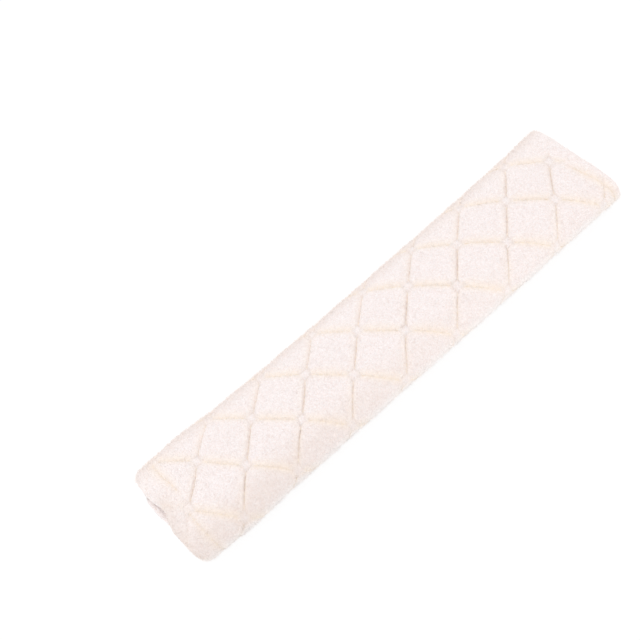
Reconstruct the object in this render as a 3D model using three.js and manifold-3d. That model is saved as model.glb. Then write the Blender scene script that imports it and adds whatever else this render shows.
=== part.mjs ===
// A quilted plush shoulder pad for a car seat belt, closed into a flat sleeve as it is worn.
// Millimetres. +X runs along the belt, +Z points up through the quilted face, and the pad rests on z = 0.
// The panel is one padded strip: its inner flap starts under the belt channel, the strip climbs the +Y side,
// crosses the top, comes down the -Y side, and its outer flap closes over the inner flap on hook and loop tape.
import * as THREE from "three";
import { mergeVertices } from "three/addons/utils/BufferGeometryUtils.js";
import Module from "manifold-3d";

// Overall form of the closed pad
const padLength = 280;
const sideWall = 7.5; // thickness of the folded sides
const topWall = 9.2; // thickness at the crest
const nearFlare = 1.8; // the -X end spreads this much wider on each side
const farFlare = 0.6; // and the +X end this much
const flareRun = 80; // length of the stretch that spreads
const crownExponent = 2.3; // roundness of the top half: 2 is an ellipse, more is squarer
const baseExponent = 2.6; // the half that rests is a little flatter
const settle = 0.8; // how far the base would bulge below the table if nothing held it up

// Channel for the webbing
const channelWidth = 51;
const channelHeight = 6;
const channelCorner = 3.5; // width of the rounded stretch at each side of the channel

// Flaps and closure, from the table up
const overlap = 26; // how far the flaps lie over each other
const outerFlap = 3.5;
const innerFlap = 3.2;
const tapeWidth = 20;
const hookTape = 1.2;
const loopTape = 1.0;
const tapeInset = 12; // from each end of the pad to the end of the tape
const seatGap = 0.3; // between pieces that lie on each other
const flapSlope = 8; // width of the slope where the wall thins into a flap
const liningSlope = 12; // and of the stretch where its lining face swings upright
const flapClear = 1; // between the end of a slope and the edge of the other flap

// Layers of the panel
const liningSheet = 0.8;
const faceCloth = 1.7; // plush and backing at the bottom of a seam
const hemFold = 10; // face cloth folded over each end of the lining
const edgeFold = 3; // face cloth folded over the free edge of each flap
const endCloth = 2.4; // face cloth that closes the ends of the foam

// Quilting: diamonds set along the pad
const diamondLength = 34.4;
const diamondWidth = 40.2;
const seamDepth = 2.6;
const seamCorner = 5; // exponent of the rounded diamond
const puffFlatness = 3.2; // more makes the diamonds flatter on top
const puffRoundness = 0.6; // less makes their sides steeper
const sideSeamShare = 0.5; // seams are shallower where the face is stretched round the sides and flaps
const sideStart = 0.5; // the stretch begins this far out from the middle, as a share of the half width
const sideEnd = 0.95; // and is full here
const patternAlong = -8.3; // a seam crossing lies here, from the middle of the pad
const patternAcross = -2.8; // and here, along the face from its crest towards -Y
const patternDrift = 5.2; // the seams have crept this far towards +Y at the -X end
const creepRun = 24; // width of the stretch from a flap's edge over which the face's grid starts to creep
const nearHem = 13; // from the -X end to the seam of its hem
const farHem = 8; // and from the +X end
const hemDepth = 0.6; // depth of the hem seams, as a share of the others
const hemShoulder = 5; // width of the slope beside a hem seam
const hemRoundness = 2.5; // more makes that slope rise faster
const hemPatternShare = 0.35; // the diamonds run on faintly into the hems
const endRound = 4.5;
const edgeRound = 1.4;

// Steps of the surface
const quiltSteps = 4; // along half of a diamond
const profileSteps = 160; // in each quarter of the section
const flapSteps = 40; // along each flap
const roundingSteps = [0, 0.1, 0.35, 0.7, 1.2]; // over a rounded end, as shares of its radius
const flareSteps = [0.25, 0.5, 0.75, 1]; // of an inner layer, as shares of the stretch that spreads
const cutClear = 0.5; // how far a cut starts outside the solid that it is cut from

const hookBase = outerFlap + seatGap;
const loopBase = hookBase + hookTape + seatGap;
const innerFlapBase = loopBase + loopTape + seatGap;
const channelFloor = innerFlapBase + innerFlap;
const channelMiddle = channelFloor + channelHeight / 2;
const halfLength = padLength / 2;
const halfWidth = channelWidth / 2 + sideWall;
const halfHeight = (channelFloor + channelHeight + topWall) / 2;
const halfDiamondX = diamondLength / 2;
const halfDiamondS = diamondWidth / 2;
const flapReach = overlap / 2;
const slopeStart = flapReach + seatGap + flapClear;

const wasm = await Module();
wasm.setup();

function smooth(from, to, value) {
  const t = THREE.MathUtils.clamp((value - from) / (to - from), 0, 1);
  return t * t * (3 - 2 * t);
}

// Half the channel's height at a distance from its middle: level, with rounded sides.
function channelHalf(y) {
  const past = Math.max(0, Math.abs(y) - (channelWidth / 2 - channelCorner)) / channelCorner;
  return (channelHeight / 2) * Math.sqrt(Math.max(0, 1 - past * past));
}

// A point of half the outline, as [y, z]: the angle runs from 0 at the crest to pi under the base.
function outlinePoint(angle) {
  const below = angle > Math.PI / 2;
  const exponent = below ? baseExponent : crownExponent;
  const rise = below ? -(halfHeight + settle) : halfHeight;
  const y = halfWidth * Math.pow(Math.abs(Math.sin(angle)), 2 / exponent);
  return [y, halfHeight + rise * Math.pow(Math.abs(Math.cos(angle)), 2 / exponent)];
}

// The wall's lining face opposite a point of the outline. It leans outwards at the sides, and is upright at
// the flaps.
function channelPoint(y, below) {
  const shrink = channelWidth / (2 * halfWidth);
  const upright = below ? 1 - smooth(slopeStart, slopeStart + liningSlope, y) : 0;
  const inner = y * THREE.MathUtils.lerp(shrink, 1, upright);
  return [inner, channelMiddle + (below ? -1 : 1) * channelHalf(inner)];
}

// Half of the strip, from the crest down one side and under to the end of its flap.
// Each entry holds the outer and lining points, how deep the seams are pressed there, and how thick the wall is
// on its way into the flap, from 1 to 0.
function stripHalf(side, isOuterFlap) {
  const half = [];
  const add = (y, z, below) => {
    const towardsFlap = below ? 1 - smooth(slopeStart, slopeStart + flapSlope, y) : 0;
    const lining = channelPoint(Math.max(y, 0), below);
    if (y < 0) lining[0] = y;
    const outerZ = isOuterFlap ? z : THREE.MathUtils.lerp(z, innerFlapBase, towardsFlap);
    const liningZ = isOuterFlap ? THREE.MathUtils.lerp(lining[1], outerFlap, towardsFlap) : lining[1];
    const stretched = below ? 1 : smooth(sideStart, sideEnd, y / halfWidth);
    const share = THREE.MathUtils.lerp(1, sideSeamShare, stretched);
    half.push({
      outer: [side * y, outerZ],
      lining: [side * lining[0], liningZ],
      seam: share * (isOuterFlap ? 1 : 1 - towardsFlap),
      fullness: 1 - towardsFlap,
    });
  };
  for (let i = 0; i <= 2 * profileSteps; i++) {
    const angle = (Math.PI / 2) * (i / profileSteps);
    const [y, z] = outlinePoint(angle);
    add(y, z, angle > Math.PI / 2);
  }
  for (let i = 1; i <= flapSteps; i++) add((-flapReach * i) / flapSteps, -settle, true);
  return half;
}

// How much wider the pad is at x than in its middle.
function spread(x) {
  const flare = x < 0 ? nearFlare : farFlare;
  return 1 + (flare * (1 - smooth(0, flareRun, halfLength - Math.abs(x)))) / halfWidth;
}

// The whole strip, indexed by the distance s along its outer face from the crest, positive towards -Y.
const innerHalf = stripHalf(1, false);
const outerHalf = stripHalf(-1, true);
const strip = [...innerHalf.slice(1).reverse(), ...outerHalf];
strip.forEach((entry, i) => {
  const before = strip[i - 1];
  entry.s = before
    ? before.s + Math.hypot(entry.outer[0] - before.outer[0], entry.outer[1] - before.outer[1])
    : 0;
});
const crestS = strip[innerHalf.length - 1].s;
strip.forEach((entry) => (entry.s -= crestS));
const firstS = strip[0].s;
const lastS = strip[strip.length - 1].s;

// The wall at s: outer point, lining point, thickness, seam share and fullness.
function wallAt(s) {
  let low = 0;
  let high = strip.length - 1;
  while (high - low > 1) {
    const middle = (low + high) >> 1;
    if (strip[middle].s <= s) low = middle;
    else high = middle;
  }
  const a = strip[low];
  const b = strip[high];
  const t = THREE.MathUtils.clamp((s - a.s) / (b.s - a.s), 0, 1);
  const mix = (p, q) => THREE.MathUtils.lerp(p, q, t);
  const outer = [mix(a.outer[0], b.outer[0]), mix(a.outer[1], b.outer[1])];
  const lining = [mix(a.lining[0], b.lining[0]), mix(a.lining[1], b.lining[1])];
  const thickness = Math.hypot(outer[0] - lining[0], outer[1] - lining[1]);
  return { outer, lining, thickness, seam: mix(a.seam, b.seam), fullness: mix(a.fullness, b.fullness) };
}

// A point of the wall at a depth measured out from its lining face. The table stops the base at z = 0.
function wallPoint(s, x, depth) {
  const wall = wallAt(s);
  const t = depth / wall.thickness;
  const y = THREE.MathUtils.lerp(wall.lining[0], wall.outer[0], t);
  const z = THREE.MathUtils.lerp(wall.lining[1], wall.outer[1], t);
  return [x, y * spread(x), Math.max(z, 0)];
}

// How far the seams have crept round the pad at x.
function drift(x) {
  return patternDrift * Math.pow((halfLength - x) / padLength, 3);
}

// How many half diamonds a point lies from the crossing at the pattern's origin, along both seam directions.
function seamCoordinates(s, x) {
  const along = (x - patternAlong) / halfDiamondX;
  const across = (s + drift(x) - patternAcross) / halfDiamondS;
  return [(along + across) / 2, (along - across) / 2];
}

// Height of the quilting from 0 at a seam to 1 at the middle of a diamond.
function diamondPuff(s, x) {
  const [p, q] = seamCoordinates(s, x).map((v) => Math.abs(2 * (v - Math.floor(v)) - 1));
  const out = Math.pow(Math.pow(p, seamCorner) + Math.pow(q, seamCorner), 1 / seamCorner);
  return Math.pow(Math.max(0, 1 - Math.pow(out, puffFlatness)), puffRoundness);
}

// Height of the quilting with the hems: a hem seam is a groove, and the diamonds are faint beyond it.
function quilt(s, x) {
  const past = Math.abs(x) - (halfLength - (x < 0 ? nearHem : farHem));
  const shoulder = 1 - Math.pow(1 - Math.min(Math.abs(past) / hemShoulder, 1), hemRoundness);
  const puff = diamondPuff(s, x);
  return (1 - hemDepth * (1 - shoulder)) * (past > 0 ? 1 - hemPatternShare * (1 - puff) : puff);
}

// How far a rounded edge has fallen at a distance in from it.
function roundDrop(distance, radius) {
  const out = Math.max(0, radius - distance);
  return radius - Math.sqrt(Math.max(0, radius * radius - out * out));
}

// Depth of the quilted outer face, out from the lining face.
function faceDepth(s, x) {
  const wall = wallAt(s);
  const fromEdge = Math.min(s - firstS, lastS - s);
  const drop =
    roundDrop(halfLength - Math.abs(x), Math.min(endRound, wall.thickness / 2)) +
    roundDrop(fromEdge, edgeRound);
  return wall.thickness - seamDepth * wall.seam * (1 - quilt(s, x)) - drop;
}

// Stations from one end to the other that fall on the quilting's own grid between the given margins.
function stations(first, last, origin, step, margins, lastMargins = margins) {
  const list = [...margins.map((m) => first + m), ...lastMargins.map((m) => last - m)];
  const clear = step / 4;
  const low = first + Math.max(...margins) + clear;
  const high = last - Math.max(...lastMargins) - clear;
  for (let k = Math.ceil((low - origin) / step); origin + k * step < high; k++) list.push(origin + k * step);
  return list.sort((a, b) => a - b);
}

// Stations of an inner layer that ends at +-end: only as many as it takes to follow the spread of the pad.
function flareStations(end) {
  const steps = flareSteps.map((share) => halfLength - share * flareRun).filter((x) => x < end);
  return [end, ...steps].flatMap((x) => [-x, x]).sort((a, b) => a - b);
}

// Where a station of the face lies at x: it creeps with the seams, but the edges of the flaps stay straight.
function crept(s, x) {
  const fromFlaps = Math.min(s - firstS, lastS - s);
  return s - drift(x) * smooth(0, creepRun, fromFlaps - edgeFold);
}

// A layer of the strip between two depths, as a closed solid bent round the pad. Its outer side may creep.
// Each cell is split along the seam that runs nearest to it, so that a seam is a clean crease.
function layer(xs, ss, lowDepth, highDepth, highStation = (s) => s) {
  const points = [];
  const index = [];
  const rows = ss.length;
  const at = (i, j, top) => 2 * (i * rows + j) + top;
  for (const x of xs) {
    for (const s of ss) {
      const high = highStation(s, x);
      points.push(...wallPoint(s, x, lowDepth(s, x)), ...wallPoint(high, x, highDepth(high, x)));
    }
  }
  const quad = (a, b, c, d) => index.push(a, b, c, a, c, d);
  for (let i = 0; i + 1 < xs.length; i++) {
    for (let j = 0; j + 1 < rows; j++) {
      const x = (xs[i] + xs[i + 1]) / 2;
      const middle = seamCoordinates(highStation((ss[j] + ss[j + 1]) / 2, x), x);
      const [p, q] = middle.map((v) => Math.abs(v - Math.round(v)));
      const [a, b, c, d] = [[i, j], [i + 1, j], [i + 1, j + 1], [i, j + 1]];
      const corners = p < q ? [b, c, d, a] : [a, b, c, d];
      quad(...corners.map(([m, n]) => at(m, n, 0)));
      quad(...corners.map(([m, n]) => at(m, n, 1)).reverse());
    }
  }
  const last = xs.length - 1;
  for (let j = 0; j + 1 < rows; j++) {
    quad(at(0, j, 0), at(0, j + 1, 0), at(0, j + 1, 1), at(0, j, 1));
    quad(at(last, j, 1), at(last, j + 1, 1), at(last, j + 1, 0), at(last, j, 0));
  }
  for (let i = 0; i < last; i++) {
    quad(at(i, 0, 1), at(i + 1, 0, 1), at(i + 1, 0, 0), at(i, 0, 0));
    quad(at(i, rows - 1, 0), at(i + 1, rows - 1, 0), at(i + 1, rows - 1, 1), at(i, rows - 1, 1));
  }
  const geometry = new THREE.BufferGeometry();
  geometry.setAttribute("position", new THREE.BufferAttribute(new Float32Array(points), 3));
  geometry.setIndex(index);
  return geometry;
}

function toSolid(geometry) {
  const bare = geometry.clone();
  bare.deleteAttribute("normal");
  bare.deleteAttribute("uv");
  const merged = mergeVertices(bare, 1e-4);
  const vertProperties = merged.attributes.position.array;
  const triVerts = new Uint32Array(merged.index.array);
  return new wasm.Manifold(new wasm.Mesh({ numProp: 3, vertProperties, triVerts }));
}

function toGeometry(solid) {
  const mesh = solid.getMesh();
  const geometry = new THREE.BufferGeometry();
  geometry.setAttribute("position", new THREE.BufferAttribute(new Float32Array(mesh.vertProperties), 3));
  geometry.setIndex(new THREE.BufferAttribute(new Uint32Array(mesh.triVerts), 1));
  geometry.computeVertexNormals();
  return geometry;
}

// Where along the strip its wall begins to thin into each flap.
function thickStretch() {
  const isFull = (entry) => entry.fullness > 0.98;
  return [strip.find(isFull).s, strip.findLast(isFull).s];
}

const stepX = halfDiamondX / quiltSteps;
const stepS = halfDiamondS / quiltSteps;
const liningTop = liningSheet + seatGap;
const [foamFirst, foamLast] = thickStretch();
const liningLength = halfLength - hemFold;
const foamLength = halfLength - endCloth;

// Depth of the smooth underside of the quilted face, where the foam lies against it.
function foamDepth(s) {
  const wall = wallAt(s);
  return wall.thickness - faceCloth - seamDepth * wall.seam;
}

// The quilted face: it wraps the foam like a tray, and folds over the ends and edges of the lining.
function plushCover() {
  const rounding = roundingSteps.map((share) => share * endRound);
  const edges = [0, edgeRound / 3, edgeRound];
  const nearEnd = [...rounding, (nearHem + rounding[rounding.length - 1]) / 2, nearHem];
  const xs = stations(-halfLength, halfLength, patternAlong, stepX, nearEnd, [...rounding, farHem]);
  const ss = stations(firstS, lastS, patternAcross, stepS, edges);
  const blank = toSolid(layer(xs, ss, () => 0, faceDepth, crept));
  const recessS = stations(firstS + edgeFold, lastS - edgeFold, patternAcross, stepS, [0]);
  const recess = toSolid(layer(flareStations(liningLength), recessS, () => -cutClear, () => liningTop));
  const foamS = stations(foamFirst, foamLast, patternAcross, stepS, [0]);
  const pocket = toSolid(layer(flareStations(foamLength), foamS, () => liningTop - seatGap / 2, foamDepth));
  return toGeometry(blank.subtract(recess).subtract(pocket));
}

// The sponge sheet inside the wall, with its long edges where the flaps begin.
function foamPadding() {
  const ss = stations(foamFirst + seatGap, foamLast - seatGap, patternAcross, stepS, [0]);
  const xs = flareStations(foamLength - seatGap);
  return layer(xs, ss, () => liningTop + seatGap, (s) => foamDepth(s) - seatGap);
}

// The smooth inner cloth against the belt, tucked inside the folds of the face.
function lining() {
  const inset = edgeFold + seatGap;
  const ss = stations(firstS + inset, lastS - inset, patternAcross, stepS, [0]);
  return layer(flareStations(liningLength - seatGap), ss, () => 0, () => liningSheet);
}

// A flat tape with softened long edges, lying level on a flap.
function tape(thickness) {
  const half = tapeWidth / 2;
  const soft = thickness / 3;
  const shape = new THREE.Shape();
  shape.moveTo(-half + soft, 0);
  shape.lineTo(half - soft, 0);
  shape.quadraticCurveTo(half, 0, half, soft);
  shape.lineTo(half, thickness - soft);
  shape.quadraticCurveTo(half, thickness, half - soft, thickness);
  shape.lineTo(-half + soft, thickness);
  shape.quadraticCurveTo(-half, thickness, -half, thickness - soft);
  shape.lineTo(-half, soft);
  shape.quadraticCurveTo(-half, 0, -half + soft, 0);
  const depth = padLength - 2 * tapeInset;
  const geometry = new THREE.ExtrudeGeometry(shape, { depth, bevelEnabled: false, curveSegments: 3 });
  geometry.translate(0, 0, -depth / 2);
  geometry.rotateX(Math.PI / 2);
  geometry.rotateZ(Math.PI / 2);
  return geometry;
}

const cream = new THREE.Color(0.97, 0.91, 0.87);
const plush = new THREE.MeshStandardMaterial({ name: "plush", color: cream, roughness: 1 });
const sponge = new THREE.MeshStandardMaterial({ name: "sponge", color: 0xf4ecd2, roughness: 0.95 });
const cloth = new THREE.MeshStandardMaterial({ name: "cloth", color: 0xf3ece2, roughness: 0.85 });
const nylon = new THREE.MeshStandardMaterial({ name: "nylon", color: 0xf2efe8, roughness: 0.6 });

const pad = new THREE.Group();

function addPiece(name, geometry, material, height = 0) {
  geometry.computeVertexNormals();
  const mesh = new THREE.Mesh(geometry, material);
  mesh.name = name;
  mesh.position.z = height;
  pad.add(mesh);
}

addPiece("plush_cover", plushCover(), plush);
addPiece("foam_padding", foamPadding(), sponge);
addPiece("inner_lining", lining(), cloth);
addPiece("hook_tape", tape(hookTape), nylon, hookBase);
addPiece("loop_tape", tape(loopTape), nylon, loopBase);

export default pad;
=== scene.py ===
import math

import bpy
import numpy as np
from mathutils import Matrix, Vector


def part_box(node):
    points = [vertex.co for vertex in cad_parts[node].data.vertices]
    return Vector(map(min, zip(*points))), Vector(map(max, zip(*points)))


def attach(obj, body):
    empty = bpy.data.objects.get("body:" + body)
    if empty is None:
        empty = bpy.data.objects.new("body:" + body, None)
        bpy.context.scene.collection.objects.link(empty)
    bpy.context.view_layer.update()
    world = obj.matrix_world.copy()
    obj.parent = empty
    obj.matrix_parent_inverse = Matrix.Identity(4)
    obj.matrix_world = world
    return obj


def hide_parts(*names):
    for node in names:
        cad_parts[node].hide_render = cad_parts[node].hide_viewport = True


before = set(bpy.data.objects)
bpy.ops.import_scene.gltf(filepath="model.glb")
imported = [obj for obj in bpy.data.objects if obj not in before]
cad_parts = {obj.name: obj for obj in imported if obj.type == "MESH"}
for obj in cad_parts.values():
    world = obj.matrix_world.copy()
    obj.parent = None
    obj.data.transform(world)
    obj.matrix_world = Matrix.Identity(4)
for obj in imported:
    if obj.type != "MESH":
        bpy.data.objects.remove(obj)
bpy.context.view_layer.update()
mm = 0.001  # shapes are worked out in millimetres

# the wall that every piece follows

coverLow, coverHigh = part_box("plush_cover")
wall = {
    "length": (coverHigh[0] - coverLow[0]) / mm,
    "pile": (1.0, 1.7),  # the pile stands this far past the near and far ends
    "width": 66.0,  # at the middle
    "height": 25.0,
    "crownExponent": 2.3,  # roundness of the top half
    "baseExponent": 2.6,  # the half that rests is flatter
    "settle": 0.8,  # how far the base would bulge below the floor
    "channelWidth": 51.0,
    "channelHeight": 6.0,
    "channelCorner": 3.5,
    "channelMiddle": 12.8,
    "flapReach": 13.0,  # each flap runs this far past the middle
    "slopeStart": 14.3,  # the wall thins to a flap from here on, counted from the middle
    "flapSlope": 8.0,
    "liningSlope": 12.0,
    "outerFlapTop": 3.5,
    "innerFlapBase": 6.6,
    "sideSeamShare": 0.45,  # seams are shallower where the face is stretched round the sides
    "stretchBetween": (0.5, 0.95),  # which starts and is full at these shares of the half width
    "fullest": 0.98,  # the foam lies where the wall is at least this full
    "steps": 400,
    "bendAt": (-140, -118, -104, -90, -60, 0, 60, 110, 140),  # places along the pad
    "bend": (0.0, -0.6, -0.9, -1.2, -1.5, -1.5, -0.9, 0.1, 1.0),  # how far its middle lies towards +Y there
    "spread": (0.6, 1.6, 1.2, 0.0, -0.6, -0.8, -0.7, -0.4, 0.4),  # and how much wider each side is
    # places round the pad, and how far each end bulges there
    "nearAt": (-92, -81, -75, -66, -60, -48, -36, -22, -14, -6, 1, 8, 15, 22, 30, 37, 44, 52, 58, 64, 75, 92),
    "nearOut": (
        0.6, 1.8, 3.2, 3.6, 3.4, 3.0, 1.9, 2.1, 1.4, -0.6, -0.9,
        0.7, 1.8, 1.2, 0.7, 0.2, -0.7, 0.4, 0.8, 0.6, 0.6, 0.6,
    ),
    "farAt": (-36, -20, -4, 12, 28, 44, 60, 75, 92),
    "farOut": (0.0, -0.7, -2.0, -2.1, -1.0, -0.1, -0.2, 0.0, 0.0),
    "easeIn": 40.0,  # over which the ends' own shape fades out
    "sag": 2.0,  # how far the empty top droops at the near end
    "sagBetween": (44, 20),  # round the pad from the crest: none past the first, full within the second
    "curl": 3.6,  # how far the inner flap curls up to it
    "curlBetween": (-48, -64),
    "sagReach": 16.0,  # both fade out over this length
}
print("pad length", round(wall["length"], 1), "mm")


def smooth(low, high, value):
    # 0 at low, 1 at high, and a cubic ease between them, also where high is the smaller one
    t = np.clip((value - low) / (high - low), 0, 1)
    return t * t * (3 - 2 * t)


def roundDrop(distance, radius):
    # how far a quarter circle has fallen at a distance in from the edge
    out = np.clip(radius - distance, 0, None)
    return radius - np.sqrt(np.clip(radius * radius - out * out, 0, None))


def halfStrip(side, isOuterFlap):
    # Half of the section, from the crest down one side and under to the flap's edge. The outer points are a
    # superellipse, y = w sin^(2/n) and z = h cos^(2/n), and the lining points lie opposite on the channel's
    # flat oval. The last two rows are how deep seams are pressed and how full the wall is, both from 0 to 1.
    angle = np.linspace(0, np.pi, 2 * wall["steps"] + 1)
    below = angle > np.pi / 2
    power = 2 / np.where(below, wall["baseExponent"], wall["crownExponent"])
    half = wall["height"] / 2
    rise = np.where(below, -(half + wall["settle"]), half)
    y = wall["width"] / 2 * np.abs(np.sin(angle)) ** power
    z = half + rise * np.abs(np.cos(angle)) ** power
    flap = -wall["flapReach"] * np.linspace(0, 1, wall["steps"] // 4 + 1)[1:]
    y = np.concatenate([y, flap])
    z = np.concatenate([z, np.full(len(flap), -wall["settle"])])
    below = np.concatenate([below, np.ones(len(flap), bool)])
    start = wall["slopeStart"]
    upright = np.where(below, 1 - smooth(start, start + wall["liningSlope"], y), 0)
    shrink = wall["channelWidth"] / wall["width"]
    liningY = np.where(y < 0, y, y * (shrink + (1 - shrink) * upright))
    corner = wall["channelCorner"]
    past = np.clip(np.abs(liningY) - wall["channelWidth"] / 2 + corner, 0, corner)
    bow = np.sqrt(1 - (past / corner) ** 2)
    liningZ = wall["channelMiddle"] + np.where(below, -1, 1) * wall["channelHeight"] / 2 * bow
    towards = np.where(below, 1 - smooth(start, start + wall["flapSlope"], y), 0)
    if isOuterFlap:
        liningZ = liningZ + (wall["outerFlapTop"] - liningZ) * towards
    else:
        z = z + (wall["innerFlapBase"] - z) * towards
    stretched = np.where(below, 1, smooth(*wall["stretchBetween"], y / wall["width"] * 2))
    seam = (1 + (wall["sideSeamShare"] - 1) * stretched) * (1 if isOuterFlap else 1 - towards)
    return np.stack([side * y, z, side * liningY, liningZ, seam, 1 - towards])


def makeStrip():
    # the whole section, and the distance s along its outer face from the crest, positive towards -Y
    inner = halfStrip(1, False)[:, :0:-1]
    whole = np.concatenate([inner, halfStrip(-1, True)], axis=1)
    s = np.concatenate([[0], np.cumsum(np.hypot(np.diff(whole[0]), np.diff(whole[1])))])
    return s - s[inner.shape[1]], whole


stripS, stripRows = makeStrip()
firstS, lastS = stripS[0], stripS[-1]
nearX = -wall["length"] / 2 - wall["pile"][0]
farX = wall["length"] / 2 + wall["pile"][1]
print("strip", round(firstS, 1), round(lastS, 1))


def wallAt(s):
    # outer y and z, lining y and z, seam share, fullness and thickness at s
    rows = [np.interp(s, stripS, row) for row in stripRows]
    return rows + [np.hypot(rows[0] - rows[2], rows[1] - rows[3])]


def seamAndThickness(s):
    # how deep seams are pressed at s, as a share, and how thick the wall is there
    rows = wallAt(s)
    return rows[4], rows[6]


def fromEnd(x):
    # distance in from the nearer end
    return np.minimum(x - nearX, farX - x)


def fromFlapEdge(s):
    # distance in from the nearer flap's edge
    return np.minimum(s - firstS, lastS - s)


def wallPoints(s, x, depth):
    # The point on the line from the lining face to the outer face, at a depth out from the first. The pad is
    # bent in plan and spreads at its ends. Each end bulges in its own way, its near top droops and its inner
    # flap curls up. All of this fades out along the pad.
    outerY, outerZ, liningY, liningZ, *others = wallAt(s)
    t = depth / others[-1]
    widen = 1 + 2 * np.interp(x, wall["bendAt"], wall["spread"]) / wall["width"]
    y = (liningY + (outerY - liningY) * t) * widen
    y = y + np.interp(x, wall["bendAt"], wall["bend"])
    z = np.maximum(liningZ + (outerZ - liningZ) * t, 0)
    nearOut = np.interp(s, wall["nearAt"], wall["nearOut"])
    farOut = np.interp(s, wall["farAt"], wall["farOut"])
    sagged = wall["sag"] * smooth(*wall["sagBetween"], np.abs(s))
    droop = sagged - wall["curl"] * smooth(*wall["curlBetween"], s)
    droop = droop * smooth(wall["sagReach"], 0, x - nearX)
    x = x - nearOut * smooth(wall["easeIn"], 0, x - nearX) + farOut * smooth(wall["easeIn"], 0, farX - x)
    return np.stack([x, y, z - droop], axis=-1)


# meshes


def flatGrid(x, s):
    # every x with every s, as two long rows
    return [grid.reshape(-1) for grid in np.meshgrid(x, s, indexing="ij")]


def gridFaces(rows, columns, start=0, flip=False):
    # the quads of a grid of rows by columns points, numbered row after row
    i, j = np.meshgrid(np.arange(rows - 1), np.arange(columns - 1), indexing="ij")
    a = start + i * columns + j
    quads = np.stack([a, a + columns, a + columns + 1, a + 1], axis=-1).reshape(-1, 4)
    return quads[:, ::-1] if flip else quads


def joinRims(fine, coarse, ratio):
    # triangles between a fine rim and a coarse one that has one point for each ratio of its points
    segment = np.arange(len(fine) - 1) // ratio
    late = (np.arange(len(fine) - 1) % ratio) >= ratio // 2
    fans = np.stack([fine[1:], fine[:-1], coarse[segment + late]], axis=-1)
    middle = fine[np.arange(len(coarse) - 1) * ratio + ratio // 2]
    return np.concatenate([fans, np.stack([coarse[:-1], coarse[1:], middle], axis=-1)])


def addObject(name, data):
    # a new object in the scene
    made = bpy.data.objects.new(name, data)
    bpy.context.scene.collection.objects.link(made)
    return made


def makeMesh(name, points, faces, uv=None, values=None):
    # points in millimetres; faces a list of arrays, each with its own number of corners
    mesh = bpy.data.meshes.new(name)
    corners = np.concatenate([group.reshape(-1) for group in faces]).astype(np.int32)
    sizes = np.concatenate([np.full(len(group), group.shape[1]) for group in faces]).astype(np.int32)
    mesh.vertices.add(len(points))
    mesh.vertices.foreach_set("co", (points * mm).astype(np.float32).reshape(-1))
    mesh.loops.add(len(corners))
    mesh.loops.foreach_set("vertex_index", corners)
    mesh.polygons.add(len(sizes))
    mesh.polygons.foreach_set("loop_start", (np.cumsum(sizes) - sizes).astype(np.int32))
    if uv is not None:
        layer = mesh.uv_layers.new(name="cloth")
        layer.data.foreach_set("uv", uv[corners].astype(np.float32).reshape(-1))
    for key, value in (values or {}).items():
        mesh.attributes.new(key, "FLOAT", "POINT").data.foreach_set("value", value.astype(np.float32))
    mesh.update(calc_edges=True)
    mesh.validate()
    mesh.polygons.foreach_set("use_smooth", np.ones(len(mesh.polygons), bool))
    return addObject(name, mesh)


def waveNoise(s, x, size, seed):
    # smooth random heights from -1 to 1: random values on a square lattice, blended by cubic eases
    cells = 256  # the lattice repeats after these
    table = np.random.default_rng(seed).uniform(-1, 1, (cells, cells))
    u, v = x / size + 1000.5, s / size + 1000.5  # never below 0
    i, j = np.floor(u).astype(int), np.floor(v).astype(int)
    fu, fv = smooth(0, 1, u - i), smooth(0, 1, v - j)
    pick = lambda a, b: table[a % cells, b % cells]
    low = pick(i, j) * (1 - fu) + pick(i + 1, j) * fu
    high = pick(i, j + 1) * (1 - fu) + pick(i + 1, j + 1) * fu
    return low * (1 - fv) + high * fv


def tubes(path, radius, sides, up):
    # round threads: path holds each one's points, and a ring of corners stands round each point, square to it
    tangent = np.gradient(path, axis=1)
    tangent = tangent / np.linalg.norm(tangent, axis=-1, keepdims=True)
    across = np.cross(tangent, up)
    across = across / np.linalg.norm(across, axis=-1, keepdims=True)
    over = np.cross(across, tangent)
    angle = np.arange(sides) * 2 * np.pi / sides
    ring = across[:, :, None] * np.cos(angle)[:, None] + over[:, :, None] * np.sin(angle)[:, None]
    points = path[:, :, None] + ring * np.broadcast_to(radius, path.shape[:2])[:, :, None, None]
    ids = np.arange(points.size // 3).reshape(points.shape[:3])
    turned = np.roll(ids, -1, axis=2)
    quads = np.stack([ids[:, :-1], ids[:, 1:], turned[:, 1:], turned[:, :-1]], axis=-1).reshape(-1, 4)
    return points.reshape(-1, 3), [quads, ids[:, 0], ids[:, -1, ::-1]]


# quilting

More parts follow.
